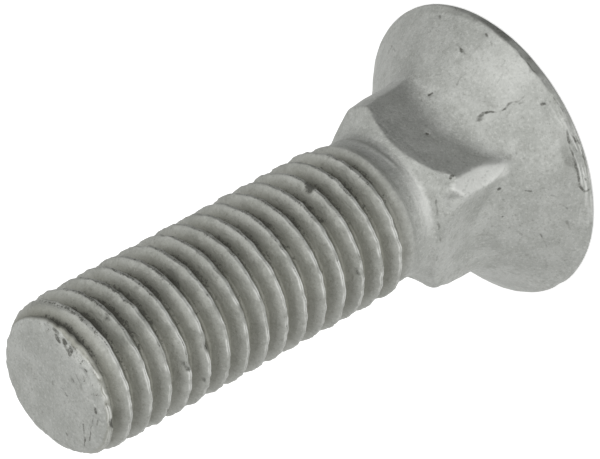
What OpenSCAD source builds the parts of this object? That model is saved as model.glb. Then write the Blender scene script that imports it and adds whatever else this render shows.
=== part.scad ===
// Countersunk bolt with a short square neck and a rolled right-hand thread, coated in zinc.
// Millimetres. It stands on the flat face of its head: the face's centre is the origin,
// and +Z runs along the shank to the threaded end.

/* [Head] */
// Diameter of the head's flat face
head_d = 18.4; // [16:0.2:22]
// Full angle of the countersunk cone
head_angle = 90; // [80:1:100]
// Height of the narrow land round the rim
land_h = 0.3; // [0.1:0.05:0.6]
// Rounding where the flat face meets the rim
rim_round = 0.12; // [0.05:0.01:0.3]

/* [Square neck] */
// Size of the square across its flats
neck_af = 9.4; // [9.2:0.1:10.4]
// How far the cut corners stand back from a sharp corner
corner_cut = 0.69; // [0.3:0.01:1]
// From the head's flat face to the end of the corners
neck_end = 7.2; // [6.4:0.1:9]
// Full angle of the shoulder that leads from the corners down to the shank
shoulder_angle = 105; // [80:1:120]
// Fillet between the shoulder and the shank
shoulder_fillet = 0.6; // [0.2:0.1:1.2]
// Hollow blend where the cone runs up to the middle of the flats
neck_fillet = 1.6; // [0.6:0.1:2.4]

/* [Shank and thread] */
// Overall length, from the head's flat face to the threaded end
length = 34; // [28:0.5:40]
// Diameter over the thread's crests
thread_d = 9.56; // [9.2:0.02:9.9]
// Distance from one turn to the next
pitch = 1.5; // [1.25:0.05:1.75]
// Angle between the flanks of a groove
flank_angle = 60; // [55:1:65]
// Width of the flat on a crest
crest_w = 0.26; // [0.15:0.01:0.4]
// Width of the bottom of a groove
root_w = 0.3; // [0.15:0.01:0.4]
// How much the two edges of a crest are rounded off
crest_round = 0.06; // [0.02:0.01:0.1]
// Plain shank between the shoulder and the first mark of the thread
plain_l = 0.4; // [0.2:0.1:2]
// Length over which the thread grows to its full depth
runout_l = 1.8; // [0.8:0.1:3]
// Diameter of the flat at the threaded end
tip_d = 8.2; // [7:0.1:8.8]
// Length of the chamfer at the threaded end
tip_l = 1.5; // [0.5:0.1:2.5]
// Direction in which the crest reaches the end face, turned from +X
crest_end_angle = 330; // [0:10:350]

/* [Smoothness] */
// Straight steps in one turn of the thread
thread_steps = 44; // [24:4:48]

/* [Hidden] */
$fn = 96;

head_r = head_d / 2;
cone_half = head_angle / 2;
corner_r = neck_af / sqrt(2) - corner_cut;
shoulder_half = shoulder_angle / 2;

// The thread. A rolled thread pushes as much metal out of its grooves as it raises
// above the blank, so the plain shank lies midway between root and crest.
crest_r = thread_d / 2;
thread_depth = (pitch - crest_w - root_w) / 2 / tan(flank_angle / 2);
root_r = crest_r - thread_depth;
shank_r = (crest_r + root_r) / 2;

// The cone's blend ends this far inside the flats, so that it meets them at a clear angle.
fillet_inset = 0.1;

// The shoulder runs at its angle from the corners to the shank, and a fillet ends it.
shoulder_l = (corner_r - shank_r) / tan(shoulder_half);
shoulder_end = neck_end + shoulder_l;
fillet_reach = shoulder_fillet * tan(shoulder_half / 2);
thread_start = shoulder_end + fillet_reach + plain_l;

// The threaded rod stands this far inside the plain shank, so that its surface stays
// clear of the shank's own. Its lowest turn is buried in the neck, and its highest
// runs past the end face, where it is cut off.
rod_seat = 0.02;
bury = 1.1 * pitch;
crest_lead = pitch * (0.5 + crest_end_angle / 360);
turns_below = ceil((length - crest_lead - thread_start + bury) / pitch);
rod_bottom = length - crest_lead - pitch * turns_below;
turns = turns_below + 2;
// The thread starts to grow this far past the end of the plain shank.
runout_wait = 0.2 * pitch;

// One groove and crest along the axis, as [share of a pitch, radius]
half_crest = crest_w / 2 / pitch;
half_root = root_w / 2 / pitch;
round_step = crest_round / pitch;
profile = [
    [0.5 - half_crest - round_step * 0.5, crest_r - crest_round],
    [0.5 - half_crest + round_step, crest_r],
    [0.5 + half_crest - round_step, crest_r],
    [0.5 + half_crest + round_step * 0.5, crest_r - crest_round],
    [1 - half_root, root_r],
    [1 + half_root, root_r],
];
rows = len(profile);

function blend(t) = let (u = min(max(t, 0), 1)) u * u * (3 - 2 * u);

// Share of the thread's full depth at height z
function thread_growth(z) = blend((z - thread_start - runout_wait) / runout_l);

// A point of the rod's surface: step a round the axis, row m along it
function rod_point(a, m) =
    let (
        p = profile[m % rows],
        z = rod_bottom + pitch * (floor(m / rows) + p[0] + a / thread_steps),
        plain = shank_r - rod_seat,
        r = plain + (p[1] - plain) * thread_growth(z),
        angle = 360 * a / thread_steps
    )
    [r * cos(angle), r * sin(angle), z];

// The number of the point at step a and row m. After a full turn the rows have
// climbed by one pitch, which makes the thread right-handed.
function rod_index(a, m) =
    a < thread_steps ? m * thread_steps + a : (m + rows) * thread_steps;

module threaded_rod() {
    last = turns * rows;
    axis_point = (last + 1 + rows) * thread_steps;
    points = concat(
        [for (m = [0:last + rows], a = [0:thread_steps - 1]) rod_point(a, m)],
        [[0, 0, rod_bottom + pitch], [0, 0, rod_bottom + (turns + 1) * pitch]]
    );
    side = [
        for (m = [0:last - 1], a = [0:thread_steps - 1], half = [0, 1])
            half == 0
                ? [rod_index(a, m), rod_index(a, m + 1), rod_index(a + 1, m + 1)]
                : [rod_index(a, m), rod_index(a + 1, m + 1), rod_index(a + 1, m)]
    ];
    // Each end is closed by a fan from the axis to one turn of a row and the seam.
    function edge(row) = concat(
        [for (a = [0:thread_steps - 1]) rod_index(a, row)],
        [for (m = [rows:-1:1]) rod_index(0, row + m)]
    );
    low = edge(0);
    high = edge(last);
    count = len(low);
    ends = [
        for (k = [0:count - 1], top = [0, 1])
            top == 0
                ? [axis_point, low[k], low[(k + 1) % count]]
                : [axis_point + 1, high[(k + 1) % count], high[k]]
    ];
    polyhedron(points, concat(side, ends), convexity = 10);
}

// What the chamfer and the end face leave of the rod
module end_envelope() {
    wide = crest_r + 1;
    rotate_extrude()
        polygon([
            [0, 0],
            [wide, 0],
            [wide, length - tip_l - (wide - crest_r) * tip_l / (crest_r - tip_d / 2)],
            [tip_d / 2, length],
            [0, length],
        ]);
}

module thread() {
    intersection() {
        threaded_rod();
        end_envelope();
    }
}

// Flat face, rim land and cone, turned about the axis. A hollow blend turns the cone
// upright inside the square neck.
module head() {
    inner_r = neck_af / 2 - fillet_inset;
    centre_r = inner_r + neck_fillet;
    cone_off = head_r * cos(cone_half) + land_h * sin(cone_half) + neck_fillet;
    centre_z = (cone_off - centre_r * cos(cone_half)) / sin(cone_half);
    rotate_extrude()
        polygon(concat(
            [[0, 0]],
            [for (a = [-90:15:0]) [head_r - rim_round * (1 - cos(a)), rim_round * (1 + sin(a))]],
            [[head_r, land_h]],
            [for (a = [cone_half:-cone_half / 6:0])
                [centre_r - neck_fillet * cos(a), centre_z - neck_fillet * sin(a)]],
            [[0, centre_z]]
        ));
}

// Outline that the corners, shoulder and plain shank are turned to
module neck_profile() {
    fillet_turn = 90 - shoulder_half;
    centre_r = shank_r + shoulder_fillet;
    centre_z = shoulder_end + fillet_reach;
    polygon(concat(
        [[0, land_h], [corner_r, land_h], [corner_r, neck_end]],
        [for (a = [shoulder_half:-shoulder_half / 6:0])
            [centre_r - shoulder_fillet * cos(a), centre_z - shoulder_fillet * sin(a)]],
        [[shank_r, thread_start], [0, thread_start]]
    ));
}

// Square neck and shoulder: a square bar inside a turned outline
module neck() {
    intersection() {
        rotate_extrude() neck_profile();
        translate([-neck_af / 2, -neck_af / 2, land_h])
            cube([neck_af, neck_af, thread_start]);
    }
}

module bolt() {
    color([0.69, 0.7, 0.68]) {
        head();
        neck();
        thread();
    }
}

bolt();
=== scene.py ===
"""Looks of a countersunk bolt with a square neck: its forged and rolled surface, and its coating
of dull zinc."""

import math

import bmesh
import bpy
from mathutils import Matrix, Vector, kdtree, noise


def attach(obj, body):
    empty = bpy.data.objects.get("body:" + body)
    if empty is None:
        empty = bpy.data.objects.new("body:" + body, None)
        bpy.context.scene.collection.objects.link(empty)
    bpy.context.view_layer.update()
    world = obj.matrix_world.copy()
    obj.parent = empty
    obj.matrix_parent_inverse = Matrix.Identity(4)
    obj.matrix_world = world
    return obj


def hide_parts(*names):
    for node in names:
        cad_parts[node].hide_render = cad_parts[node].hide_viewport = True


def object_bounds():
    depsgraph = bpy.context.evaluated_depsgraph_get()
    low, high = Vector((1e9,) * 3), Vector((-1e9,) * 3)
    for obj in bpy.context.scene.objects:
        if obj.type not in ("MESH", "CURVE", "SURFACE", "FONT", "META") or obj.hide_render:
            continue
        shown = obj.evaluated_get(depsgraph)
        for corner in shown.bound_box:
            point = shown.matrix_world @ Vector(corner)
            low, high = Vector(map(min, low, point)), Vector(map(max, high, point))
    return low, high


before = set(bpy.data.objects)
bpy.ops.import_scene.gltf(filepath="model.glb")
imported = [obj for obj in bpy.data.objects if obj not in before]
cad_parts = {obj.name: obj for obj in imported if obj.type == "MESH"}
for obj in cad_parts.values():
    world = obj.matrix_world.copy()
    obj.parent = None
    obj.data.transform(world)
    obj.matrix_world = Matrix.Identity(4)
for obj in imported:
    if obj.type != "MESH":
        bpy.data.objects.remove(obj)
cad_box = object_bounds()
MM = 0.001

# ---------------------------------------------------------------- sizes, in millimetres
length = (cad_box[1].z - cad_box[0].z) / MM
head_r = (cad_box[1].x - cad_box[0].x) / MM / 2

# Head: the narrow land, and the rounding between it and the flat face
land_h = 0.3
rim_round = 0.12
# Square neck: across its flats, out to its cut corners, where they leave the cone, and their end
neck_af = 9.4
corner_r = 5.957
neck_start = 3.4
neck_end = 7.2
# Shoulder between the neck and the shank: half of its cone's angle, and its fillet
shoulder_half = math.radians(52.5)
shoulder_fillet = 0.6
# Thread: its pitch, crests and grooves, the plain shank before it, and its runout
pitch = 1.5
crest_r = 4.78
root_r = 3.966
plain_l = 0.4
runout_l = 1.8
# Chamfered end, and how much of a last turn the crest makes before it meets the end face
tip_r = 4.1
tip_l = 1.5
crest_end_turn = 330 / 360

shank_r = (crest_r + root_r) / 2
shoulder_end = neck_end + (corner_r - shank_r) / math.tan(shoulder_half)
thread_start = shoulder_end + shoulder_fillet * math.tan(shoulder_half / 2) + plain_l

# Reach of the blends: cut corners, the shoulder's edge, the hollow up to the neck, the rim,
# the chamfer's edge, and the edge of the end face
corner_blend = 0.07
shoulder_blend = 0.12
hollow_blend = 0.85
rim_blend = 0.06
chamfer_blend = 0.08
edge_blend = 0.12

# Half of a crest's and of a groove's profile from its middle: height in shares of a pitch,
# and radius from the crest or from the groove's floor. The coating has rounded both.
crest_half = [(0.0, -0.012), (0.035, -0.002), (0.062, -0.012), (0.09, -0.055), (0.14, -0.15)]
root_half = [(0.0, 0.0), (0.045, 0.006), (0.09, 0.045)]

# ---------------------------------------------------------------- fineness of the mesh
head_steps = 216
thread_steps = 164
# The head's surface ends a little below the rod's, and a narrow strip joins the two.
join_z = thread_start + 0.1
seam_gap = 0.1
# Rings of the head: up to a height, no further apart than a step
ring_steps = [
    (0.9, 0.06),
    (3.0, 0.14),
    (5.4, 0.13),
    (neck_end - 0.25, 0.14),
    (shoulder_end, 0.06),
    (join_z - seam_gap, 0.08),
]
# Rings that close the head's flat face and the end face, as shares of the face's radius
face_rings = [0.99, 0.97, 0.93, 0.86, 0.76, 0.64, 0.5, 0.35, 0.2, 0.08, 0.02]
end_rings = [0.985, 0.96, 0.93, 0.9, 0.865, 0.83, 0.79, 0.75, 0.68, 0.56, 0.43, 0.3, 0.17, 0.07, 0.02]
# Length of one stroke of a mark, and how much further than its width the mesh is cut finer
stroke_l = 0.13
fine_reach = 0.2
fine_cuts = 3

# ---------------------------------------------------------------- what sets this bolt apart
# Directions are in degrees from +X. A side is a direction and how wide it reaches.

# The surface stays this far inside the solid's box, which leaves room for its unevenness.
skin = 0.02
# How much of the rim's radius its unevenness may take, and how the rim leans in as it rises
rim_room = 0.05
rim_lean = 0.1

# The land is low, and the forging left it higher on some sides: direction, width, height
land_low = 0.12
land_swells = [(-6, 32, 0.36), (-53, 13, 0.66)]
# Each corner of the neck came out of the forge a little differently: its direction, how far
# it stands out beside the cone and further up, and how much its free end is worn down.
neck_corners = [
    (-45, 6.5, 6.03, 0.02),
    (45, 5.98, 5.88, 0.1),
    (135, 6.05, 5.95, 0.1),
    (-135, 5.97, 5.97, 0.17),
]
# The front corner runs out on the shoulder as a tongue between two hollows.
front = -45
tongue_ridge = (-42, 4.5)
tongue_hollow = (front, 9)
tongue_spine = (front, 4)
tongue_half = 5.5
tongue_lobe = (-42, 4)
# The shoulder is low behind the lower corner.
shoulder_start = corner_r + 0.05
low_shoulder = (-148, 13)
# Pieces that broke away from the edge of the end face: direction, width, depth
edge_breaks = [(-12, 14, 0.42), (22, 26, 0.14), (-158, 10, 0.06)]
# The shears left the end out of round.
tip_swell = (-98, 34)

# Sides on which the bolt was beaten, on which its cone is lighter and its land darker, and on which it has
# painted highlight on the shank and the crests' chips, or painted shade on the flanks and beside the crests
beaten_end = (-42, 36)
lighter_cone = (-8, 13)
highlit_shank = (-46, 24)
highlit_chips = (-8, 30)
dark_land = (5, 34)
shaded_flanks = (-90, 45)
shaded_crests = (2, 32)
# Sides on which something is strongest, and the least share of it that is everywhere
frayed_land = (-30, 50, 0.2)
torn_end = (-50, 55, 0.25)
pitted_end = (-15, 40, 0.25)
rubbed_land = (-54, 17, 0.15)
highlit_crests = (-55, 42, 0.1)
dirty_floors = (5, 45, 0.15)
dirty_seams = (-50, 55, 0.3)
shaded_gaps = (5, 33, 0.16)
# The dirt along the crests lies further round by a shift towards the end.
dirty_crests = (4, 32, 0.2)
dirty_shift = 8

# Where a stretch of the surface begins or ends, and how softly: heights
neck_begins = (neck_start, 0.5)
neck_ends = (neck_end + 0.15, 0.15)
corner_settles = (neck_start, 2.2)
corner_wears = (neck_end - 1.0, 0.9)
tongue_rises_until = (neck_end + 0.7, 0.6)
shoulder_begins = (neck_end - 0.1, 0.4)
shoulder_ends = (thread_start + 0.5, 0.5)
shank_begins = (8.25, 0.25)
shank_ends = (9.3, 0.35)
fray_ends = (1.5, 1.0)
rim_ends = (1.6, 1.0)
spread_ends = (4.0, 3.5)
land_begins = (0.02, 0.1)
land_ends = (0.85, 0.2)
land_shade_ends = (0.6, 0.15)
land_dirt_ends = (0.45, 0.15)
lighter_cone_begins = (0.4, 0.2)
lighter_cone_ends = (3.2, 1.5)
thread_ends = (length, 0.05)
near_end_begins = (24, 7)
end_sinks = (length - 0.9, 0.9)
end_tears_begin = (length - 0.7, 0.4)
end_beaten_begins = (length - 0.5, 0.3)
end_pits_begin = (length - 0.3, 0.3)
# The same for radii
corner_inside = (5.6, 0.25)
land_inside = (8.3, 0.3)
end_rags_inside = (2.8, 0.8)
end_tears_inside = (3.2, 0.5)
end_beaten_inside = (2.9, 0.9)
end_band_inside = (2.7, 0.5)
end_pits_inside = (3.1, 0.5)
end_face_r = 3.9
# The same for directions
die_ridge_begins = (-28, 25)
die_ridge_lifts = (10, 30)

# Lines along the thread: their middle, 0 on a crest and 0.5 or -0.5 in a groove, and their half width
crest_swell = (-0.1, 0.04)
crest_line = (0.045, 0.022)
chip_line = (-0.03, 0.07)
dirt_line = (0.01, 0.09)
shade_line = (-0.075, 0.05)
# Where a crest and its seam end, a groove's floor begins, a gap between two crests begins and
# ends, and the painted shade of a flank begins, and how softly
crest_ends = (0.18, 0.1)
seam_ends = (0.03, 0.03)
floor_begins = (0.34, 0.1)
gap_begins = (0.2, 0.2)
gap_ends = (0.85, 0.2)
flank_begins = (0.12, 0.08)

# Layers of unevenness: height in millimetres or strength of a mask, size of a lump, seed
coat_lumps = (0.022, 1.7, 1.3)
coat_grain = (0.010, 0.6, 4.1)
thread_grain = (0.008, 0.35, 2.9)
crest_wave = (0.02, 0.9, 8.3)
crest_ripple = (0.038, 0.38, 6.1)
crest_sway = (0.045, 0.7, 2.8)
shoulder_rings = (0.012, 0.8, 5.5)
land_wave = (0.06, 1.1, 3.1)
land_fray = (0.1, 0.45, 7.7)
rim_wave = (0.35, 1.6, 5.3)
face_lumps = (0.015, 2.5, 3.8)
end_lumps = (0.012, 1.4, 6.6)
end_rags = (1, 0.5, 9.4)
end_tears = (1, 0.4, 4.9)
end_chips = (1, 0.33, 7.2)
end_flakes = (1, 0.3, 5.2)
land_streaks = (1.6, 0.6, 4.4)
land_patches = (1.4, 0.8, 3.9)
crest_gleam = (1.2, 0.55, 1.9)
crest_chips = (2.4, 0.3, 5.7)
seam_dirt = (1, 0.8, 7.1)
# A mark's strokes sway by a layer for each axis, and their strength by one more.
stroke_sway = [(1, 0.35, 1.2), (1, 0.35, 3.4), (1, 0.35, 5.6)]
stroke_strength = (1, 0.3, 9.9)

# Heights of single forms in millimetres
crest_swell_h = 0.025
crest_loss = 0.015
rim_loss = 0.01
face_hollow = 0.02
end_hollow = 0.02
end_edge_drop = 0.16
end_rag_drop = 0.05
end_beaten_drop = 0.07
end_chip_drop = 0.06
end_tear = 0.05
tip_swell_h = 0.3
low_shoulder_drop = 0.8
tongue_ridge_h = 0.32
tongue_hollow_drop = 0.9
# The end face's edge is rounded off at this slope.
edge_slope = 2.0

# Strength of the wear, the polish and painted highlight, the dirt, and the painted shade at each place
tongue_worn = 0.9
corner_worn = 0.15
cone_lightening = 0.4
end_worn = 0.22
# Strength of the painted highlight on the chips and on the shank
chip_highlight = 0.5
shank_highlight = 0.55
crests_dirty = 0.8
seams_dirty = 0.7
land_dirty = 0.6
end_flakes_dirty = 0.42
end_pits_dirty = 0.45
flank_shade = 0.36
crest_shade = 0.42
land_shade = 0.6

# A low ridge that the dies pushed up before the thread: height of its middle, how much lower
# it lies towards the front, half its width, and how high it stands
die_ridge_z = 9.17
die_ridge_drop = 0.27
die_ridge_half = 0.15
die_ridge_h = 0.07

# Dents and pits: direction, height, radius over which they fade, depth
dents = [
    (-2.5, 5.92, 0.2, 0.08),
    (-4.6, 5.75, 0.2, -0.04),
    (18.9, 3.95, 0.16, 0.06),
    (20.2, 3.8, 0.16, -0.05),
    (-137, 6.95, 0.18, 0.05),
    (11, 33.6, 0.22, 0.12),
    (-2, 33.65, 0.2, 0.1),
    (-11, 33.6, 0.2, 0.12),
    (-34, 33.7, 0.2, 0.08),
    (-174, 33.9, 0.25, 0.12),
    (-120, 0.1, 0.5, 0.06),
    (-28, 0.55, 0.3, 0.09),
    (-15, 0.5, 0.35, 0.08),
    (-61.4, 26.21, 0.3, 0.3),
    (-63.5, 26.5, 0.2, -0.08),
    (0.6, 25.81, 0.25, 0.16),
    (-49.3, 11.54, 0.25, 0.14),
    (-31.4, 19.34, 0.2, 0.1),
    (35.2, 11.56, 0.3, 0.12),
    (-10.6, 12.8, 0.25, 0.1),
    (-67.8, 14.5, 0.25, 0.1),
    (-66.5, 27.96, 0.3, 0.12),
    (-82.4, 33.2, 0.4, 0.15),
    (152, 17.2, 0.3, 0.15),
    (-160, 23.4, 0.35, 0.14),
    (110, 28.0, 0.3, 0.16),
]

# Marks on the head: places as (direction, height), width in millimetres, darkness
head_marks = [
    ([(-15.1, 3.19), (-17.6, 2.9), (-20.6, 2.63), (-20.4, 2.3)], 0.085, 0.6),
    ([(-20.4, 2.3), (-19.7, 2.12), (-21.5, 1.7)], 0.09, 0.45),
    ([(-21.5, 1.7), (-21.1, 1.39), (-19.7, 1.18)], 0.08, 0.55),
    ([(-43, 8.02), (-54, 8.12), (-63, 8.2), (-80, 8.17), (-98, 8.13)], 0.1, 0.4),
    ([(-41, 0.62), (-46, 0.8), (-52, 0.86), (-58, 0.85), (-63, 0.74), (-65.5, 0.55), (-65, 0.35)], 0.1, 0.55),
    ([(-43, 0.5), (-46, 0.36)], 0.08, 0.55), ([(-48, 0.62), (-51, 0.42)], 0.08, 0.5),
    ([(-53, 0.64), (-56, 0.4)], 0.08, 0.55), ([(-58, 0.62), (-61, 0.4)], 0.08, 0.45),
    ([(-41, 0.2), (-47, 0.22), (-53, 0.2), (-60, 0.2)], 0.07, 0.5),
    ([(-2, 0.42), (-10, 0.5), (-18, 0.46), (-27, 0.36), (-34, 0.34)], 0.06, 0.5),
    ([(-22.5, 1.75), (-23.0, 1.5)], 0.08, 0.4),
    ([(8.6, 0.71), (3.1, 0.99), (1.6, 1.25)], 0.1, 0.55),
    ([(12.2, 1.9), (14.6, 1.8)], 0.14, 0.6), ([(14.6, 1.8), (18.5, 1.62)], 0.08, 0.6),
    ([(-16.4, 3.62), (-17.2, 3.35)], 0.15, 0.45), ([(-16.0, 3.5), (-15.2, 3.2)], 0.12, 0.4),
    ([(-43.5, 0.95), (-47.5, 1.08), (-52.5, 1.0)], 0.4, 0.34), ([(-50, 0.9), (-56, 0.92)], 0.25, 0.3),
    ([(-71.6, 1.4), (-73.4, 1.2)], 0.17, 0.7), ([(33.2, 0.8), (34.5, 0.68)], 0.15, 0.6),
    ([(-77.9, 3.95), (-77.6, 3.91)], 0.07, 0.8), ([(-58.1, 4.11), (-57.7, 4.05)], 0.12, 0.7),
    ([(-88, 2.25), (-97, 1.7)], 0.07, 0.5), ([(-27.4, 1.02), (-28.4, 0.82)], 0.13, 0.7),
    ([(-62.0, 2.95), (-62.8, 2.7)], 0.1, 0.6), ([(-88.0, 3.2), (-89.5, 3.0)], 0.12, 0.4),
    ([(-3.6, 5.93), (-1.6, 5.9)], 0.13, 1.0), ([(38.0, 2.6), (38.8, 2.3)], 0.08, 0.3),
    ([(-37.0, 7.02), (-38.2, 7.2)], 0.14, 1.0),
    ([(-139, 7.0), (-134, 6.95)], 0.14, 0.9), ([(17.6, 3.9), (18.6, 4.02)], 0.12, 1.0),
    ([(6.0, 3.1), (7.0, 2.8), (5.2, 2.5)], 0.07, 0.35), ([(-8.0, 1.5), (-9.5, 1.9)], 0.12, 0.35),
    ([(-5.0, 1.1), (-6.2, 1.45)], 0.1, 0.35), ([(-35.0, 2.2), (-36.5, 1.8)], 0.09, 0.3),
    ([(-66.0, 1.9), (-68.0, 1.6)], 0.1, 0.35), ([(-80.0, 1.2), (-84.0, 1.0)], 0.12, 0.35),
    ([(-104.0, 1.6), (-110.0, 1.3)], 0.12, 0.3), ([(25.0, 2.2), (26.0, 1.7)], 0.1, 0.25),
    ([(140, 2.4), (146, 2.1)], 0.12, 0.7), ([(-165, 1.6), (-160, 1.3)], 0.1, 0.7),
    ([(95, 3.1), (99, 2.9)], 0.14, 0.7), ([(170, 3.0), (175, 2.2), (173, 1.5)], 0.09, 0.6),
    ([(120, 1.3), (123, 0.9)], 0.2, 0.5), ([(60, 2.0), (66, 1.4)], 0.08, 0.5),
    ([(200, 5.5), (203, 5.2)], 0.12, 0.8), ([(93, 6.0), (95, 5.6)], 0.13, 0.7),
]
# Scratches and pits on the end face: places as (x, y), width, darkness
end_marks = [
    ([(0.63, -0.38), (0.29, -1.29)], 0.08, 0.5), ([(2.27, -1.58), (1.56, -2.45)], 0.09, 0.55),
    ([(0.37, 0.04), (0.2, -0.06)], 0.1, 0.5), ([(-2.3, -1.72), (-2.36, -1.82)], 0.14, 0.8),
    ([(-0.46, -2.78), (-2.11, -3.26)], 0.06, 0.6), ([(0.54, -3.4), (-1.4, -3.5)], 0.08, 0.7),
    ([(-0.7, 1.49), (-0.35, 0.84)], 0.05, 0.35), ([(0.16, -1.92), (-0.91, -2.28)], 0.06, 0.4),
    ([(-1.47, -0.36), (-1.87, -0.69)], 0.06, 0.4), ([(1.0, 1.75), (0.9, 1.65)], 0.1, 0.4),
    ([(3.7, 0.69), (3.4, 0.2)], 0.14, 0.6), ([(3.5, -0.2), (3.2, -0.8)], 0.16, 0.7),
    ([(2.9, -2.0), (2.7, -2.2)], 0.12, 0.7), ([(1.1, -3.5), (0.9, -3.6)], 0.16, 0.8),
    ([(3.8, 0.85), (3.75, 0.55)], 0.16, 0.8), ([(3.85, 0.0), (3.65, -0.25)], 0.16, 0.9),
    ([(3.5, -0.6), (3.42, -0.85)], 0.17, 0.9), ([(3.38, -1.0), (3.3, -1.15)], 0.1, 0.7),
    ([(3.05, -2.0), (3.0, -2.15)], 0.12, 0.8), ([(0.3, -3.75), (0.1, -3.8)], 0.12, 0.7),
    ([(-3.75, -0.35), (-3.8, -0.5)], 0.14, 0.9), ([(-3.6, -1.0), (-3.5, -1.3)], 0.07, 0.6),
    ([(-1.25, 3.5), (-1.3, 3.6)], 0.12, 0.7), ([(-2.35, -2.4), (-2.5, -2.5)], 0.16, 0.35),
    ([(2.6, 0.9), (2.5, 0.7)], 0.08, 0.4), ([(1.9, -1.2), (1.6, -1.75)], 0.08, 0.45),
]
# Dirt and nicks in the thread: direction, height, width, darkness. Each is a stroke that
# reaches a few degrees to both sides, at a radius on the flanks.
thread_marks = [
    (35.2, 11.56, 0.3, 1.0), (7.4, 14.6, 0.3, 0.9), (-9.3, 17.13, 0.25, 0.9), (-10.6, 12.8, 0.22, 0.9),
    (-25.7, 13.09, 0.2, 0.7), (-67.8, 14.5, 0.22, 0.9), (-44.4, 14.85, 0.16, 0.6), (-0.5, 28.2, 0.2, 0.8),
    (-9.6, 27.99, 0.26, 0.9), (-3.8, 32.48, 0.25, 0.8), (-8.2, 31.3, 0.2, 0.8), (-82.4, 33.5, 0.35, 0.9),
    (-66.5, 27.96, 0.2, 0.8), (-61.4, 26.1, 0.25, 1.0), (-79.2, 12.64, 0.2, 0.6), (-90.4, 26.4, 0.15, 0.8),
    (-100.1, 29.09, 0.2, 0.6), (9.0, 33.1, 0.12, 0.9), (-20.6, 28.07, 0.2, 0.6), (140, 20.2, 0.25, 0.8),
    (-170, 15.4, 0.3, 0.7), (100, 24.6, 0.25, 0.8),
]
nick_reach = 2
nick_r = 4.6


# ---------------------------------------------------------------- soft steps and unevenness
noise_gain = 1.7
around_r = 5


def smooth_max(a, b, reach):
    """The larger of two values, blended where they are closer than reach."""
    near = max(reach - abs(a - b), 0) / reach
    return max(a, b) + near * near * reach / 4


def smooth_min(a, b, reach):
    return -smooth_max(-a, -b, reach)


def ease(t):
    t = min(max(t, 0), 1)
    return t * t * (3 - 2 * t)


def rise(value, start, over):
    """Softly from 0 at start to 1 further on by over."""
    return ease((value - start) / over)


def fall(value, end, over):
    """Softly from 1 to 0, which it reaches at end after falling over a stretch."""
    return ease((end - value) / over)


def bell(value, centre, width):
    return math.exp(-(((value - centre) / width) ** 2))


def aside(turn, centre):
    """How far a direction lies from another, in degrees from -180 to 180."""
    return (math.degrees(turn) - centre + 180) % 360 - 180


def bump(turn, centre, width):
    """A soft swelling round the axis: 1 at its centre, fading over a width, both in degrees."""
    return bell(aside(turn, centre), 0, width)


def mostly(turn, centre, width, least):
    """A swelling round the axis that nowhere falls below a least share."""
    return least + (1 - least) * bump(turn, centre, width)


def lumps(x, y, z, layer):
    """Soft unevenness of a layer: between about -1 and 1 times its height."""
    height, size, seed = layer
    place = Vector((x / size + seed, y / size - seed, z / size + 0.37 * seed))
    return height * noise_gain * noise.noise(place)


def around(turn, z, layer):
    """Unevenness of a layer along a line that runs round the bolt."""
    return lumps(around_r * math.cos(turn), around_r * math.sin(turn), z, layer)


# ---------------------------------------------------------------- the bolt's form
def corner_radius(turn, z):
    """How far the nearest corner of the neck stands out at a height."""
    nearest = min(neck_corners, key=lambda corner: abs(aside(turn, corner[0])))
    _, cone_r, end_r, worn_off = nearest
    return cone_r + (end_r - cone_r) * rise(z, *corner_settles) - worn_off * rise(z, *corner_wears)


def square_radius(turn, z):
    """Distance from the axis to the square bar with its corners cut."""
    across = turn % (math.pi / 2)
    if across > math.pi / 4:
        across -= math.pi / 2
    return smooth_min(neck_af / 2 / math.cos(across), corner_radius(turn, z), corner_blend)


def rim_land(turn, z):
    """Height of the narrow land, which is ragged close to the rim."""
    land = land_low
    for centre, width, height in land_swells:
        land += height * bump(turn, centre, width)
    frayed = mostly(turn, *frayed_land) * fall(z, *fray_ends)
    return land + frayed * (around(turn, 0, land_wave) + around(turn, 0, land_fray))


def head_radius(turn, z):
    """Outline of the head, neck, shoulder and plain shank at an angle and a height."""
    rim = head_r - skin - rim_room * (0.5 + around(turn, 0, rim_wave)) - rim_lean * max(z - 0.1, 0)
    if z < rim_round:
        rim -= rim_round - math.sqrt(max(rim_round**2 - (rim_round - z) ** 2, 0))
    spread = land_h + (rim_land(turn, z) - land_h) * fall(z, *spread_ends)
    cone = smooth_min(head_r + spread - skin - z, rim, rim_blend)
    start = shoulder_start - low_shoulder_drop * bump(turn, *low_shoulder)
    hollows = bump(turn, *tongue_hollow) - bump(turn, *tongue_spine)
    lifted = tongue_ridge_h * bump(turn, *tongue_ridge) - tongue_hollow_drop * hollows
    start += lifted * fall(z, *tongue_rises_until)
    shoulder = start - (z - neck_end) * math.tan(shoulder_half)
    neck = smooth_min(square_radius(turn, z), shoulder, shoulder_blend)
    neck = smooth_max(neck, shank_r, shoulder_fillet)
    return smooth_max(cone, neck, hollow_blend)


def tip_radius(turn):
    """Radius where the chamfer ends, which the shears left out of round."""
    return tip_r + tip_swell_h * bump(turn, *tip_swell)


def end_edge(turn):
    """Radius of the end face's edge, where pieces of it broke away."""
    edge = tip_radius(turn)
    for centre, width, depth in edge_breaks:
        edge -= depth * bump(turn, centre, width)
    return edge


def thread_growth(z):
    """How far the thread has grown at a height, from 0 to its full depth at 1."""
    return ease((z - thread_start - 0.2 * pitch) / runout_l)


def rod_radius(turn, z, thread):
    """Outline of the threaded rod, given the radius that the full thread has there."""
    r = shank_r + (thread - shank_r) * thread_growth(z)
    chamfer = tip_radius(turn) + (length - z) * (crest_r - tip_r) / tip_l
    edge = end_edge(turn) + (length - z) * edge_slope
    return smooth_min(smooth_min(r, chamfer, chamfer_blend), edge, edge_blend)


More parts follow.
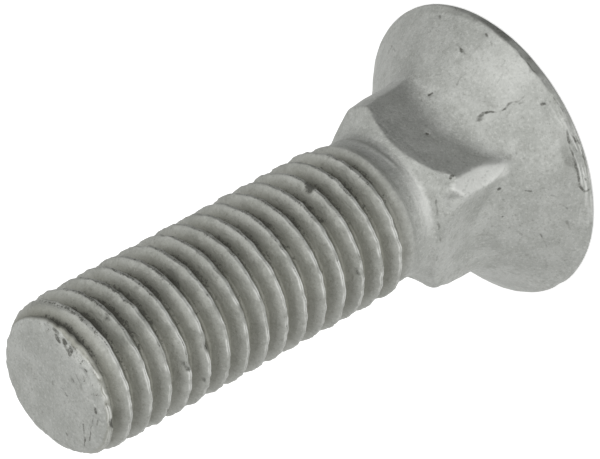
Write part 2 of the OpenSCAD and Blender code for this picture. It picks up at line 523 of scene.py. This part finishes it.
def pitch_profile():
    """Half a groove, a crest and half a groove: height in shares of a pitch, and radius."""
    floor_half = [(share - 0.5, root_r + up) for share, up in root_half]
    top_half = [(-share, crest_r + up) for share, up in reversed(crest_half)]
    below = floor_half[-1]
    above = top_half[0]
    flank_middle = ((below[0] + above[0]) / 2, (below[1] + above[1]) / 2)
    half = floor_half + [flank_middle] + top_half
    return [(share + 0.5, r) for share, r in half + [(-share, r) for share, r in reversed(half[:-1])]]


def spun(points, steps, climb=0.0):
    """One turn of a surface through points (radius, height), climbing by climb on its way round."""
    bm = bmesh.new()
    verts = [bm.verts.new((r, 0, z)) for r, z in points]
    edges = [bm.edges.new(pair) for pair in zip(verts, verts[1:])]
    bmesh.ops.spin(
        bm, geom=verts + edges, cent=(0, 0, 0), axis=(0, 0, 1), dvec=(0, 0, climb / steps),
        angle=2 * math.pi, steps=steps, use_merge=climb == 0,
    )
    return bm


def rod_bottom():
    """Height of the lowest groove of the rod, from which its turns are counted."""
    lead = pitch * (0.5 + crest_end_turn)
    return length - lead - pitch * (math.ceil((length - lead - join_z) / pitch) + 1)


def rod():
    """The threaded rod: one turn of the thread, repeated up the axis and cut level at both ends."""
    bm = spun([(r, rod_bottom() + pitch * share) for share, r in pitch_profile()], thread_steps, pitch)
    turn = bm.verts[:] + bm.edges[:] + bm.faces[:]
    for climbed in range(1, math.ceil((length - rod_bottom()) / pitch) + 1):
        made = bmesh.ops.duplicate(bm, geom=turn)["geom"]
        verts = [g for g in made if isinstance(g, bmesh.types.BMVert)]
        bmesh.ops.translate(bm, vec=(0, 0, pitch * climbed), verts=verts)
    bmesh.ops.remove_doubles(bm, verts=bm.verts, dist=0.002)
    for v in bm.verts:
        thread = math.hypot(v.co.x, v.co.y)
        v.co.xy *= rod_radius(math.atan2(v.co.y, v.co.x), v.co.z, thread) / thread
    for height, keep_above in ((join_z, True), (length, False)):
        bmesh.ops.bisect_plane(
            bm, geom=bm.verts[:] + bm.edges[:] + bm.faces[:], dist=1e-5,
            plane_co=(0, 0, height), plane_no=(0, 0, 1),
            clear_inner=keep_above, clear_outer=not keep_above,
        )
    return bm


def head_heights():
    """Heights of the head's rings, closer together where the outline turns."""
    rows = [rim_round * share for share in (0, 0.15, 0.35, 0.6, 1)]
    for top, step in ring_steps:
        start = rows[-1]
        count = math.ceil((top - start) / step)
        rows += [start + (top - start) * (i + 1) / count for i in range(count)]
    return rows


def head():
    """Head, neck and shoulder, turned round and then pressed to the square."""
    bm = spun([(1.0, z) for z in head_heights()], head_steps)
    for v in bm.verts:
        turn = math.atan2(v.co.y, v.co.x)
        v.co.xy *= head_radius(turn, v.co.z) / math.hypot(v.co.x, v.co.y)
    return bm


def open_edges(bm, height):
    return [e for e in bm.edges if e.is_boundary and all(abs(v.co.z - height) < 1e-3 for v in e.verts)]


def close_end(bm, height, shares):
    """Closes a round end with rings that shrink to a point on the axis."""
    loop = open_edges(bm, height)
    before = 1.0
    for share in shares:
        grown = bmesh.ops.extrude_edge_only(bm, edges=loop)["geom"]
        ring = [g for g in grown if isinstance(g, bmesh.types.BMVert)]
        bmesh.ops.scale(bm, vec=(share / before, share / before, 1), verts=ring)
        loop = [g for g in grown if isinstance(g, bmesh.types.BMEdge) and g.is_boundary]
        before = share
    centre = list(dict.fromkeys(v for e in loop for v in e.verts))
    bmesh.ops.pointmerge(bm, verts=centre, merge_co=(0, 0, height))


# ---------------------------------------------------------------- unevenness
def on_bolt(x, y, z):
    """A point's radius and direction, how fully the thread is cut there, and its place across the
    thread: 0 in the middle of a crest, 0.5 in the middle of the next groove towards the tip, and
    -0.5 in the middle of the groove before it."""
    turn = math.atan2(y, x)
    side = ((z - rod_bottom()) / pitch - turn / (2 * math.pi)) % 1 - 0.5
    return math.hypot(x, y), turn, thread_growth(z) * fall(z, *thread_ends), side


def dented(x, y, z, r):
    """How deep the dents are at a point."""
    depth = 0.0
    for angle, height, size, deepest in dents:
        a = math.radians(angle)
        away = Vector((x - r * math.cos(a), y - r * math.sin(a), z - height)).length
        if away < 2.5 * size:
            depth += deepest * bell(away, 0, size)
    return depth


def broken_end(x, y, z, r, turn):
    """How far the torn end moves outward and along the axis: its edge is rounded off and beaten
    down, most of all on one side."""
    edge = rise(r, end_edge(turn) - 0.5, 0.6)
    rags = max(lumps(x, y, 0, end_rags), 0) * rise(r, *end_rags_inside)
    sunk = end_hollow + end_edge_drop * edge + end_rag_drop * rags + lumps(x, y, 0, end_lumps)
    sunk *= rise(z, *end_sinks)
    beaten = rise(z, *end_beaten_begins) * rise(r, *end_beaten_inside) * bump(turn, *beaten_end)
    torn = rise(z, *end_tears_begin) * rise(r, *end_tears_inside) * mostly(turn, *torn_end)
    sunk += end_beaten_drop * beaten - end_chip_drop * torn * min(lumps(x, y, 0, end_chips), 0)
    return end_tear * torn * around(turn, 3 * z, end_tears), -sunk


def moved(x, y, z):
    """How far a point of the even form moves outward and along the axis."""
    r, turn, full, side = on_bolt(x, y, z)
    degrees = math.degrees(turn)
    out = lumps(x, y, z, coat_lumps) + lumps(x, y, z, coat_grain) + full * lumps(x, y, z, thread_grain)

    # The crests sway and are wavy, and they are swollen on the side of the head.
    ridge = full * fall(abs(side), *crest_ends)
    out += ridge * crest_swell_h * bell(side, *crest_swell)
    out += ridge * (around(turn, z, crest_wave) + around(turn, z, crest_ripple) - crest_loss)
    along = ridge * around(turn, z, crest_sway)

    # The dies left rings on the shoulder and the plain shank.
    shoulder = rise(z, *shoulder_begins) * fall(z, *shoulder_ends)
    out += shoulder * lumps(0.25 * x, 0.25 * y, 4 * z, shoulder_rings)

    # The rim is the widest place, so nothing swells there.
    rim = fall(z, *rim_ends)
    out = out * (1 - rim) + (min(out, 0.0) * z - rim_loss) * rim

    ridge_z = die_ridge_z - die_ridge_drop * fall(degrees, *die_ridge_lifts)
    out += die_ridge_h * bell(z, ridge_z, die_ridge_half) * rise(degrees, *die_ridge_begins)
    out -= dented(x, y, z, r)

    if z > end_sinks[0]:
        torn_out, torn_along = broken_end(x, y, z, r, turn)
        out += torn_out
        along += torn_along

    # The two flat faces don't widen, and the head's is a little hollow.
    if z > length - 0.02 and r < end_face_r:
        out = 0.0
    if z < 1e-4 and r < head_r - 0.5:
        along += face_hollow + lumps(x, y, 0, face_lumps)
        out = 0.0
    return out, along


# ---------------------------------------------------------------- wear and dirt
def tongue(turn, z):
    """1 inside the rubbed tongue of the front corner and 0 outside it."""
    off = abs(aside(turn, front)) / tongue_half
    end = neck_end + 0.1 - 0.45 * off * off + 0.3 * bump(turn, *tongue_lobe)
    return rise(z, *neck_begins) * fall(off, 1.15, 0.25) * fall(z, end, 0.12)


def finish(x, y, z):
    """How deep in a groove a point of the even form lies, how worn, dirty and polished it is, how
    bright a painted highlight and how dark a painted shade lie on it, each from 0 to 1."""
    r, turn, full, side = on_bolt(x, y, z)
    share = abs(side)
    behind = side % 1
    # Deeper in a groove: the zinc's yellowish tint there, darkened further as painted shade
    groove = full * (0.3 + 0.7 * ease((crest_r - r) / (crest_r - root_r)))
    corner = rise(z, *neck_begins) * fall(z, *neck_ends) * rise(r, *corner_inside)
    land = fall(z, *land_ends) * rise(r, *land_inside) * rise(z, *land_begins)
    # The land's dark patches, shared by its dirt and by its painted shade
    scale = land * bump(turn, *dark_land) * ease(0.45 + around(turn, z, land_patches))
    end_band = rise(z, *end_beaten_begins) * rise(r, *end_band_inside) * bump(turn, *beaten_end)
    end_rim = rise(z, *end_pits_begin) * rise(r, *end_pits_inside)
    flakes = lumps(x, y, 0, end_flakes)
    near_end = rise(z, *near_end_begins)

    # Rubbed bright: the tongue and the corners, streaks on the land, and flakes on the beaten side
    # of the end. The cone above the land is also lighter and smoother on one side.
    streaks = ease(0.35 + lumps(0.45 * x, 0.45 * y, 5 * z, land_streaks))
    worn = max(
        tongue_worn * tongue(turn, z),
        corner_worn * corner,
        land * streaks * mostly(turn, *rubbed_land),
        cone_lightening * bump(turn, *lighter_cone) * fall(z, *lighter_cone_ends) * rise(z, *lighter_cone_begins),
        end_worn * end_band * ease(0.4 + 1.5 * flakes),
    )

    # Painted highlight, where the zinc is also polished smoother: a broken line on each side of the crests,
    # chips on them, and the plain shank
    gleam = ease(0.6 + around(turn, z, crest_gleam)) * mostly(turn, *highlit_crests)
    chips = ease(around(turn, z, crest_chips) - 0.5) * bump(turn, *highlit_chips)
    shank = rise(z, *shank_begins) * fall(z, *shank_ends)
    glint = max(
        full * gleam * bell(share, *crest_line),
        chip_highlight * full * chips * bell(side, *chip_line),
        shank_highlight * shank * bump(turn, *highlit_shank),
    )

    # Dirt: along the crests, on the floor of the grooves, in the seam of the crests, on the
    # scale of the land, and in the flakes and pits of the end
    crest_side, *crest_rest = dirty_crests
    crests = bell(side, *dirt_line) * mostly(turn, crest_side + dirty_shift * near_end, *crest_rest)
    floors = rise(share, *floor_begins) * mostly(turn, *dirty_floors)
    seams = fall(share, *seam_ends) * ease(0.4 + around(turn, z, seam_dirt)) * mostly(turn, *dirty_seams)
    thread = full * max(crests_dirty * crests, floors, seams_dirty * seams)
    dirt = max(
        thread * (0.85 + 0.25 * near_end),
        land_dirty * scale * fall(z, *land_dirt_ends),
        end_flakes_dirty * end_band * ease(0.2 - 2.0 * flakes),
        end_pits_dirty * end_rim * mostly(turn, *pitted_end),
    )

    # Painted shade: darker in the gaps between the crests, on the lower flanks, beside the crests on
    # the side of the head, and on the land where the scale mask lies
    painted_shade = max(
        full * rise(behind, *gap_begins) * fall(behind, *gap_ends) * mostly(turn, *shaded_gaps),
        flank_shade * full * bump(turn, *shaded_flanks) * rise(share, *flank_begins),
        crest_shade * full * bump(turn, *shaded_crests) * bell(side, *shade_line),
        land_shade * scale * fall(z, *land_shade_ends),
    )
    return groove, worn, dirt, glint, painted_shade


# ---------------------------------------------------------------- marks
def on_head(angle, z):
    turn = math.radians(angle)
    r = head_radius(turn, z)
    return Vector((r * math.cos(turn), r * math.sin(turn), z))


def on_thread(angle, z):
    turn = math.radians(angle)
    return Vector((nick_r * math.cos(turn), nick_r * math.sin(turn), z))


def ragged(points, width, strength):
    """Splits a line through points into short uneven strokes, with a few gaps."""
    strokes = []
    for start, end in zip(points, points[1:]):
        steps = max(math.ceil((end - start).length / stroke_l), 1)
        for i in range(steps):
            ends = []
            for share in (i / steps, (i + 1) / steps):
                p = start.lerp(end, share)
                sway = Vector([lumps(*p, layer) for layer in stroke_sway])
                ends.append(p + sway * 0.6 * width)
            uneven = lumps(*ends[0], stroke_strength)
            if uneven > -0.55:
                strokes.append((*ends, width * (0.75 + 0.25 * uneven), strength * (0.75 + 0.4 * uneven)))
    return strokes


def marks():
    """Every mark as short strokes: two ends, a width and a darkness."""
    lines = []
    for places, width, strength in head_marks:
        lines += ragged([on_head(*place) for place in places], width, strength)
    for places, width, strength in end_marks:
        lines += ragged([Vector((x, y, length)) for x, y in places], width, strength)
    for angle, z, width, strength in thread_marks:
        nick = [on_thread(angle - nick_reach, z), on_thread(angle + nick_reach, z)]
        lines += ragged(nick, width, strength)
    return lines


def beside(place, line):
    """Distance from a point to a mark's line."""
    start, end = line[:2]
    run = end - start
    share = min(max((place - start).dot(run) / run.length_squared, 0), 1)
    return (place - start - run * share).length


def point_tree(bm):
    bm.verts.ensure_lookup_table()
    tree = kdtree.KDTree(len(bm.verts))
    for v in bm.verts:
        tree.insert(v.co, v.index)
    tree.balance()
    return tree


def points_near(tree, line, reach):
    """Indices of the points within reach of a line."""
    start, end = line[:2]
    stops = math.ceil((end - start).length / 0.1) + 1
    found = set()
    for i in range(stops):
        place = start.lerp(end, i / max(stops - 1, 1))
        found.update(hit[1] for hit in tree.find_range(place, reach + 0.05))
    return found


def refine(bm, lines):
    """Cuts the surface finer where the fine marks of the head and the end face are."""
    bm.verts.index_update()
    tree = point_tree(bm)
    near = set()
    for line in lines:
        if line[0].z < join_z or line[0].z > length - 0.1:
            near |= points_near(tree, line, line[2] + fine_reach)
    edges = [e for e in bm.edges if e.verts[0].index in near and e.verts[1].index in near]
    known = len(bm.verts)
    bmesh.ops.subdivide_edges(bm, edges=edges, cuts=fine_cuts, use_grid_fill=True)
    bm.verts.index_update()
    for v in bm.verts:
        if v.index >= known and 1e-4 < v.co.z < join_z - 1e-4:
            v.co.xy *= head_radius(math.atan2(v.co.y, v.co.x), v.co.z) / math.hypot(v.co.x, v.co.y)


def marked(bm, lines):
    """How marked each point is: 1 on a mark's line, fading to 0 beyond its width."""
    tree = point_tree(bm)
    strength = [0.0] * len(bm.verts)
    for line in lines:
        reach = line[2] * 1.3
        for index in points_near(tree, line, reach):
            here = ease(1.6 - 1.6 * beside(bm.verts[index].co, line) / reach)
            strength[index] = max(strength[index], here * line[3])
    return strength


# ---------------------------------------------------------------- the surface
def bolt_mesh():
    """The whole surface in millimetres, and the masks of its finish at each of its points."""
    bm = head()
    upper = rod()
    copy = bpy.data.meshes.new("rod")
    upper.to_mesh(copy)
    upper.free()
    bm.from_mesh(copy)
    bpy.data.meshes.remove(copy)
    bmesh.ops.bridge_loops(bm, edges=open_edges(bm, join_z - seam_gap) + open_edges(bm, join_z))
    close_end(bm, 0.0, face_rings)
    close_end(bm, length, end_rings)
    lines = marks()
    refine(bm, lines)
    bmesh.ops.recalc_face_normals(bm, faces=bm.faces)
    masks = {"groove": [], "worn": [], "dirt": [], "glint": [], "painted_shade": [], "mark": marked(bm, lines)}
    for v in bm.verts:
        out, along = moved(*v.co)
        for name, value in zip(masks, finish(*v.co)):
            masks[name].append(value)
        r = math.hypot(v.co.x, v.co.y)
        if r > 0.01:
            v.co.xy *= (r + out) / r
        v.co.z += along
    return bm, masks


def bolt():
    bm, masks = bolt_mesh()
    bmesh.ops.scale(bm, vec=(MM, MM, MM), verts=bm.verts)
    mesh = bpy.data.meshes.new("bolt_surface")
    bm.to_mesh(mesh)
    bm.free()
    for name, values in masks.items():
        mesh.attributes.new(name, "FLOAT", "POINT").data.foreach_set("value", values)
    mesh.polygons.foreach_set("use_smooth", [True] * len(mesh.polygons))
    piece = bpy.data.objects.new("bolt_surface", mesh)
    bpy.context.scene.collection.objects.link(piece)
    mesh.materials.append(zinc())
    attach(piece, "root")
    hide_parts("bolt")


# ---------------------------------------------------------------- nodes
def add(tree, kind, settings=None, **inputs):
    """A node with its settings, and with each input, named or numbered as in i0, set to a value
    or linked to a socket."""
    made = tree.nodes.new("ShaderNode" + kind)
    for name, value in (settings or {}).items():
        setattr(made, name, value)
    for name, value in inputs.items():
        numbered = name[0] == "i" and name[1:].isdigit()
        slot = made.inputs[int(name[1:]) if numbered else name.replace("_", " ")]
        if isinstance(value, bpy.types.NodeSocket):
            tree.links.new(value, slot)
        else:
            slot.default_value = value
    return made


def maths(tree, operation, a, b, clamp=False):
    return add(tree, "Math", {"operation": operation, "use_clamp": clamp}, i0=a, i1=b).outputs[0]


def times(tree, a, b):
    return maths(tree, "MULTIPLY", a, b)


def plus(tree, a, b):
    return maths(tree, "ADD", a, b)


def fade(tree, value, low, high, to_low=0.0, to_high=1.0):
    """A value that goes softly from to_low at low to to_high at high."""
    ranged = add(
        tree, "MapRange", {"interpolation_type": "SMOOTHSTEP"},
        Value=value, From_Min=low, From_Max=high, To_Min=to_low, To_Max=to_high,
    )
    return ranged.outputs["Result"]


def grain(tree, place, scale, detail, roughness):
    noise_node = add(tree, "TexNoise", Vector=place, Scale=scale, Detail=detail, Roughness=roughness)
    return noise_node.outputs["Fac"]


def mask(tree, name):
    return add(tree, "Attribute", {"attribute_name": name}).outputs["Fac"]


def tint(tree, base, colour, amount):
    """A colour laid over another by an amount."""
    mix = add(tree, "Mix", {"data_type": "RGBA"}, i0=amount)
    for slot, value in ((mix.inputs[6], base), (mix.inputs[7], colour)):
        if isinstance(value, bpy.types.NodeSocket):
            tree.links.new(value, slot)
        else:
            slot.default_value = (*value, 1)
    return mix.outputs[2]


# ---------------------------------------------------------------- finish
# Colours of the zinc, and of its painted shade and painted highlight
dull_zinc = (0.41, 0.42, 0.395)
pale_zinc = (0.49, 0.50, 0.475)
dark_patch = (0.38, 0.385, 0.36)
light_speck = (0.60, 0.61, 0.58)
dark_speck = (0.25, 0.255, 0.23)
dark_grain = (0.24, 0.245, 0.22)
# Yellowish zinc of the grooves, darkened as painted shade
yellow_shaded_groove = (0.275, 0.27, 0.215)
rubbed_zinc = (0.72, 0.73, 0.70)
# Near white of a painted highlight, laid where the zinc is also polished smoother
polished_highlight_zinc = (0.92, 0.93, 0.90)
# Near black of the painted shade in the gaps, on the lower flanks, beside the crests and on the land
painted_shade_colour = (0.07, 0.07, 0.055)
soot_black = (0.11, 0.11, 0.095)

metal_share = 0.8
# Deepest relief of the coating
relief_h = 0.03


def zinc():
    """Dull hot-dipped zinc: mottled and slightly lumpy, smoother and lighter where it is worn,
    yellowish in the grooves, and dark where dirt has settled. Painted shade darkens the grooves,
    the gaps between the crests, the lower flanks, the crests' side towards the head and the land,
    and a painted highlight lightens the crests' edges, their chips and the shank."""
    material = bpy.data.materials.new("hot_dipped_zinc")
    material.use_nodes = True
    tree = material.node_tree
    shader = tree.nodes["Principled BSDF"]
    here = add(tree, "TexCoord").outputs["Object"]
    place = add(tree, "VectorMath", {"operation": "SCALE"}, i0=here, Scale=1 / MM).outputs[0]
    worn = mask(tree, "worn")
    dirt = mask(tree, "dirt")
    glint = mask(tree, "glint")

    clouds = grain(tree, place, 0.55, 4.0, 0.55)
    patches = grain(tree, place, 1.9, 3.0, 0.6)
    speckle = grain(tree, place, 5.5, 4.0, 0.65)
    fine = grain(tree, place, 13.0, 2.0, 0.6)

    rubbed = times(tree, worn, fade(tree, plus(tree, patches, speckle), 0.7, 1.0, 0.45, 1.0))
    colour = tint(tree, dull_zinc, pale_zinc, fade(tree, clouds, 0.35, 0.65))
    for over, where, strength in (
        (dark_patch, fade(tree, patches, 0.5, 0.75), 0.6),
        (light_speck, fade(tree, speckle, 0.5, 0.7), 0.6),
        (dark_speck, fade(tree, speckle, 0.44, 0.3), 0.55),
        (dark_grain, fade(tree, fine, 0.42, 0.3), 0.5),
        (yellow_shaded_groove, mask(tree, "groove"), 0.6),
        (rubbed_zinc, rubbed, 0.85),
        # Painted shade, near black
        (painted_shade_colour, mask(tree, "painted_shade"), 0.7),
        # Painted highlight on the crests, their chips and the shank
        (polished_highlight_zinc, glint, 0.75),
    ):
        colour = tint(tree, colour, over, times(tree, where, strength))

    # Soot gathers in specks where there is dirt, and the marks are uneven pits.
    crust = plus(tree, times(tree, speckle, 0.7), times(tree, fine, 0.5))
    crust = plus(tree, times(tree, patches, 0.4), crust)
    soot = fade(tree, plus(tree, times(tree, dirt, 0.35), crust), 0.98, 1.12)
    soot = times(tree, soot, fade(tree, dirt, 0.0, 0.3))
    uneven = fade(tree, plus(tree, fine, speckle), 0.75, 1.12, 0.65, 1.3)
    pits = fade(tree, times(tree, mask(tree, "mark"), uneven), 0.05, 0.95)
    dark = maths(tree, "MAXIMUM", times(tree, soot, 0.75), times(tree, pits, 0.85))
    colour = tint(tree, colour, soot_black, dark)
    tree.links.new(colour, shader.inputs["Base Color"])

    shader.inputs["Metallic"].default_value = metal_share
    rough = fade(tree, patches, 0.3, 0.7, 0.47, 0.56)
    rough = maths(tree, "SUBTRACT", rough, times(tree, rubbed, 0.16))
    rough = maths(tree, "SUBTRACT", rough, times(tree, glint, 0.2))
    rough = maths(tree, "ADD", rough, times(tree, dark, 0.3), clamp=True)
    tree.links.new(rough, shader.inputs["Roughness"])

    height = clouds
    for part, amount in ((patches, 0.8), (speckle, 0.7), (fine, 0.45), (pits, -0.6), (soot, -0.3)):
        height = plus(tree, height, times(tree, part, amount))
    relief = add(tree, "Bump", Height=height, Strength=1.0, Distance=relief_h * MM)
    tree.links.new(relief.outputs[0], shader.inputs["Normal"])
    return material


# ---------------------------------------------------------------- floor, light and camera
# The view: azimuth, height above the horizon and roll in degrees, what it is centred on and
# how far away it is in metres, and the camera's lens and film in millimetres
view_azimuth = 58
view_elevation = 34.27
view_roll = -118.72
view_centre = Vector((1.66, 0.12, 15.03)) * MM
view_distance = 0.4663
view_lens = 488.6
view_film = 36
nearest_seen = 0.01
furthest_seen = 20

# The floor: half its size in metres, and how far below the bolt it lies in millimetres
floor_reach = 3
floor_drop = 0.02
floor_glow = 0.3

# The studio's soft light: azimuth, elevation, and how bright that part of the tent is. Each
# part fades from its middle to where its direction's cosine is glow_edge.
glow_edge = 0.2
glows = [
    (58, 34, 0.07),
    (38, -7, 0.30),
    (113, 66, 0.98),
    (97, 7, 0.17),
    (0, 43, 0.24),
    (14, -46, 0.46),
    (-166, 46, 0.10),
    (-49, 23, 0.26),
    (-142, 7, 0.26),
    (-83, -7, 0.24),
    (-122, -34, 0.37),
    (172, 6, 0.17),
    (-23, -13, 0.27),
]


def direction(azimuth, elevation):
    """From the bolt towards a viewer at an azimuth from -Y and a height above the horizon."""
    turn = math.radians(azimuth)
    up = math.radians(elevation)
    return Vector((math.sin(turn) * math.cos(up), -math.cos(turn) * math.cos(up), math.sin(up)))


def camera():
    data = bpy.data.cameras.new("view")
    data.lens = view_lens
    data.sensor_width = view_film
    data.clip_start = nearest_seen
    data.clip_end = furthest_seen
    cam = bpy.data.objects.new("view", data)
    bpy.context.scene.collection.objects.link(cam)
    back = direction(view_azimuth, view_elevation)
    turn = (-back).to_track_quat("-Z", "Y").to_matrix().to_4x4()
    roll = Matrix.Rotation(math.radians(view_roll), 4, "Z")
    cam.matrix_world = Matrix.Translation(view_centre + back * view_distance) @ turn @ roll
    bpy.context.scene.camera = cam


def floor():
    """A white floor that is seen but throws no light of its own on the bolt."""
    bm = bmesh.new()
    bmesh.ops.create_grid(bm, x_segments=1, y_segments=1, size=floor_reach)
    mesh = bpy.data.meshes.new("floor")
    bm.to_mesh(mesh)
    bm.free()
    plate = bpy.data.objects.new("floor", mesh)
    bpy.context.scene.collection.objects.link(plate)
    white = bpy.data.materials.new("white_floor")
    white.use_nodes = True
    shader = white.node_tree.nodes["Principled BSDF"]
    shader.inputs["Base Color"].default_value = (1, 1, 1, 1)
    shader.inputs["Roughness"].default_value = 0.9
    shader.inputs["Specular IOR Level"].default_value = 0.2
    shader.inputs["Emission Color"].default_value = (1, 1, 1, 1)
    shader.inputs["Emission Strength"].default_value = floor_glow
    mesh.materials.append(white)
    plate.location.z = -floor_drop * MM
    plate.visible_glossy = False
    plate.visible_diffuse = False
    plate.visible_shadow = False


def light():
    """A tent of soft light, bright where the lamps stand behind it."""
    world = bpy.data.worlds.new("studio")
    world.use_nodes = True
    tree = world.node_tree
    towards = add(tree, "TexCoord").outputs["Generated"]
    total = 0.0
    for azimuth, elevation, strength in glows:
        lamp = direction(azimuth, elevation)
        facing = add(tree, "VectorMath", {"operation": "DOT_PRODUCT"}, i0=towards, i1=lamp)
        total = plus(tree, total, fade(tree, facing.outputs["Value"], glow_edge, 1.0, 0.0, strength))
    tree.links.new(total, tree.nodes["Background"].inputs["Color"])
    bpy.context.scene.world = world


bpy.context.scene.view_settings.view_transform = "Standard"
camera()
floor()
light()
bolt()
